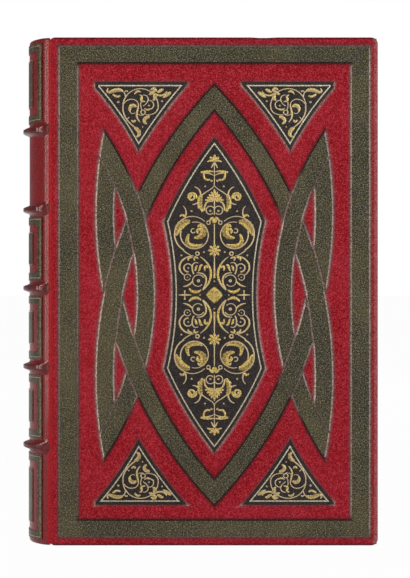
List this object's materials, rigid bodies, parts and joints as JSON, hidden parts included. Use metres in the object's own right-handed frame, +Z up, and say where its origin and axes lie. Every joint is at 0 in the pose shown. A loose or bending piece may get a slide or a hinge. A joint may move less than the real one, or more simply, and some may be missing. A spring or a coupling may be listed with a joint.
{
  "type": "leather-bound book",
  "caption": "Upright leather-bound book: red goatskin covers with green interlaced straps, black gilt plaques and a rounded spine with raised bands; both covers open.",
  "frame": {"origin": "middle of the base: the book stands on its tail edges, and the origin is centred under its width and thickness", "axes": "+Z up, from tail to head; +X from the spine towards the fore edge; the front cover faces -Y"},
  "size_m": [0.1623, 0.04, 0.23],
  "materials": {
    "red_leather": "satin",
    "green_leather": "satin",
    "black_leather": "satin",
    "silver_line": "satin",
    "gilding": "gloss",
    "paper": "matte",
    "lining_paper": "matte",
    "cord": "matte",
    "endband_silk": "satin",
    "millboard": "matte"
  },
  "bodies": {
    "block": {"text_block": "paper", "front_flyleaf": "paper", "back_flyleaf": "paper", "spine_lining": "lining_paper", "sewing_cords": "cord", "head_endband": "endband_silk", "tail_endband": "endband_silk", "spine_leather": "red_leather", "spine_panel_1": "green_leather", "spine_panel_3": "green_leather", "spine_panel_4": "green_leather", "spine_panel_5": "green_leather", "spine_panel_6": "green_leather"},
    "front_cover": {"front_board": "millboard", "front_leather": "red_leather", "front_pastedown": "paper", "border_strap": "green_leather", "upper_diamond_strap": "green_leather", "lower_diamond_strap": "green_leather", "left_bow_strap": "green_leather", "right_bow_strap": "green_leather", "centre_plaque": "black_leather", "centre_line": "silver_line", "centre_gilding": "gilding", "corner_plaque_1": "black_leather", "corner_plaque_2": "black_leather", "corner_plaque_3": "black_leather", "corner_plaque_4": "black_leather", "corner_line_1": "silver_line", "corner_line_2": "silver_line", "corner_line_3": "silver_line", "corner_line_4": "silver_line", "corner_gilding_1": "gilding", "corner_gilding_2": "gilding", "corner_gilding_3": "gilding", "corner_gilding_4": "gilding"},
    "back_cover": {"back_board": "millboard", "back_leather": "red_leather", "back_pastedown": "paper"}
  },
  "joints": [
    {"name": "front_hinge", "type": "hinge", "parent": "block", "child": "front_cover", "pos_m": [-0.06685, -0.0196, 0.115], "axis": [0, 0, -1], "range_deg": [0, 180]},
    {"name": "back_hinge", "type": "hinge", "parent": "block", "child": "back_cover", "pos_m": [-0.06685, 0.02, 0.115], "axis": [0, 0, 1], "range_deg": [0, 180]}
  ]
}
